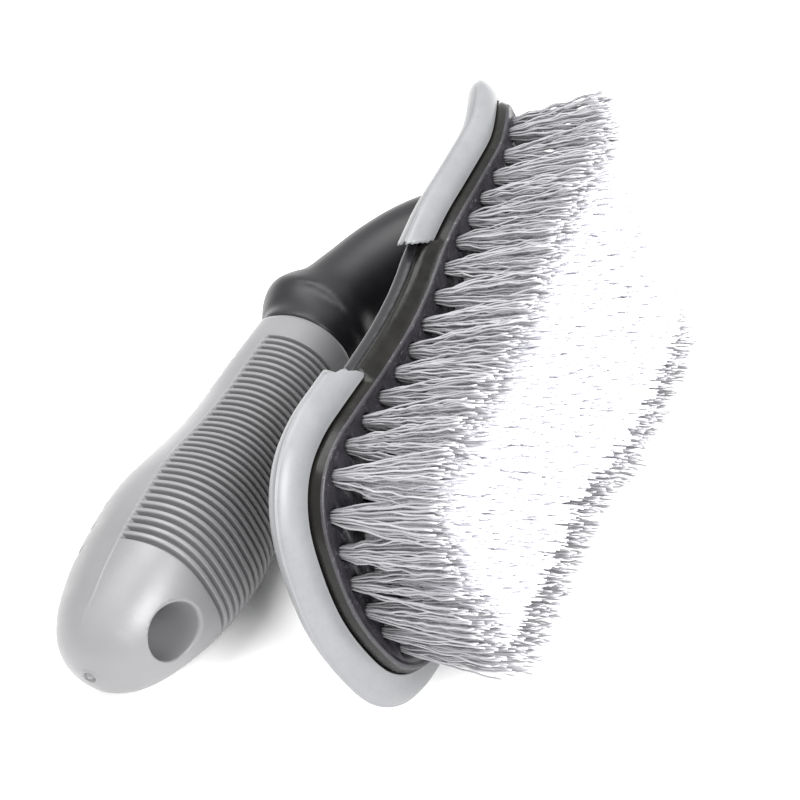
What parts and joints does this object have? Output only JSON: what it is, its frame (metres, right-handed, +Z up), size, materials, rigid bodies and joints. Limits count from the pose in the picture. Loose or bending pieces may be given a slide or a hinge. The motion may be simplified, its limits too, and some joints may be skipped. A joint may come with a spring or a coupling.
{
  "type": "wheel brush",
  "caption": "Wheel brush with an iron-style handle over an hourglass head, soft bumpers round both ends, a grey outer ring and a white field of bristles.",
  "frame": {"origin": "middle of the footprint's bounding box, at the lowest point of the brush as it lies on its side", "axes": "+X along the head towards its toe, +Z up, +Y towards the handle side; the bristles point to -Y and a little up"},
  "size_m": [0.1952, 0.1272, 0.1015],
  "materials": {
    "moulded_black": "satin",
    "bristle_block_black": "satin, dusty",
    "grip_rubber_grey": "matt",
    "bumper_rubber_grey": "satin",
    "bristle_grey": "satin",
    "bristle_white": "satin"
  },
  "bodies": {
    "root": {"body": "moulded_black", "bristle_block": "bristle_block_black", "bumper_front": "bumper_rubber_grey", "bumper_rear": "bumper_rubber_grey", "grey_tuft_01": "bristle_grey", "grey_tuft_02": "bristle_grey", "grey_tuft_03": "bristle_grey", "grey_tuft_04": "bristle_grey", "grey_tuft_05": "bristle_grey", "grey_tuft_06": "bristle_grey", "grey_tuft_07": "bristle_grey", "grey_tuft_08": "bristle_grey", "grey_tuft_09": "bristle_grey", "grey_tuft_10": "bristle_grey", "grey_tuft_11": "bristle_grey", "grey_tuft_12": "bristle_grey", "grey_tuft_13": "bristle_grey", "grey_tuft_14": "bristle_grey", "grey_tuft_15": "bristle_grey", "grey_tuft_16": "bristle_grey", "grey_tuft_17": "bristle_grey", "grey_tuft_18": "bristle_grey", "grey_tuft_19": "bristle_grey", "grey_tuft_20": "bristle_grey", "grey_tuft_21": "bristle_grey", "grey_tuft_22": "bristle_grey", "grey_tuft_23": "bristle_grey", "grey_tuft_24": "bristle_grey", "grey_tuft_25": "bristle_grey", "grey_tuft_26": "bristle_grey", "grey_tuft_27": "bristle_grey", "grey_tuft_28": "bristle_grey", "grey_tuft_29": "bristle_grey", "grey_tuft_30": "bristle_grey", "grey_tuft_31": "bristle_grey", "grey_tuft_32": "bristle_grey", "grey_tuft_33": "bristle_grey", "grey_tuft_34": "bristle_grey", "grey_tuft_35": "bristle_grey", "grey_tuft_36": "bristle_grey", "grey_tuft_37": "bristle_grey", "grey_tuft_38": "bristle_grey", "grey_tuft_39": "bristle_grey", "grey_tuft_40": "bristle_grey", "grey_tuft_41": "bristle_grey", "grey_tuft_42": "bristle_grey", "grey_tuft_43": "bristle_grey", "grey_tuft_44": "bristle_grey", "grey_tuft_45": "bristle_grey", "grip": "grip_rubber_grey", "white_row_1": "bristle_white", "white_row_2": "bristle_white", "white_row_3": "bristle_white", "white_row_4": "bristle_white", "white_row_5": "bristle_white", "white_row_6": "bristle_white", "white_row_7": "bristle_white"}
  },
  "joints": []
}
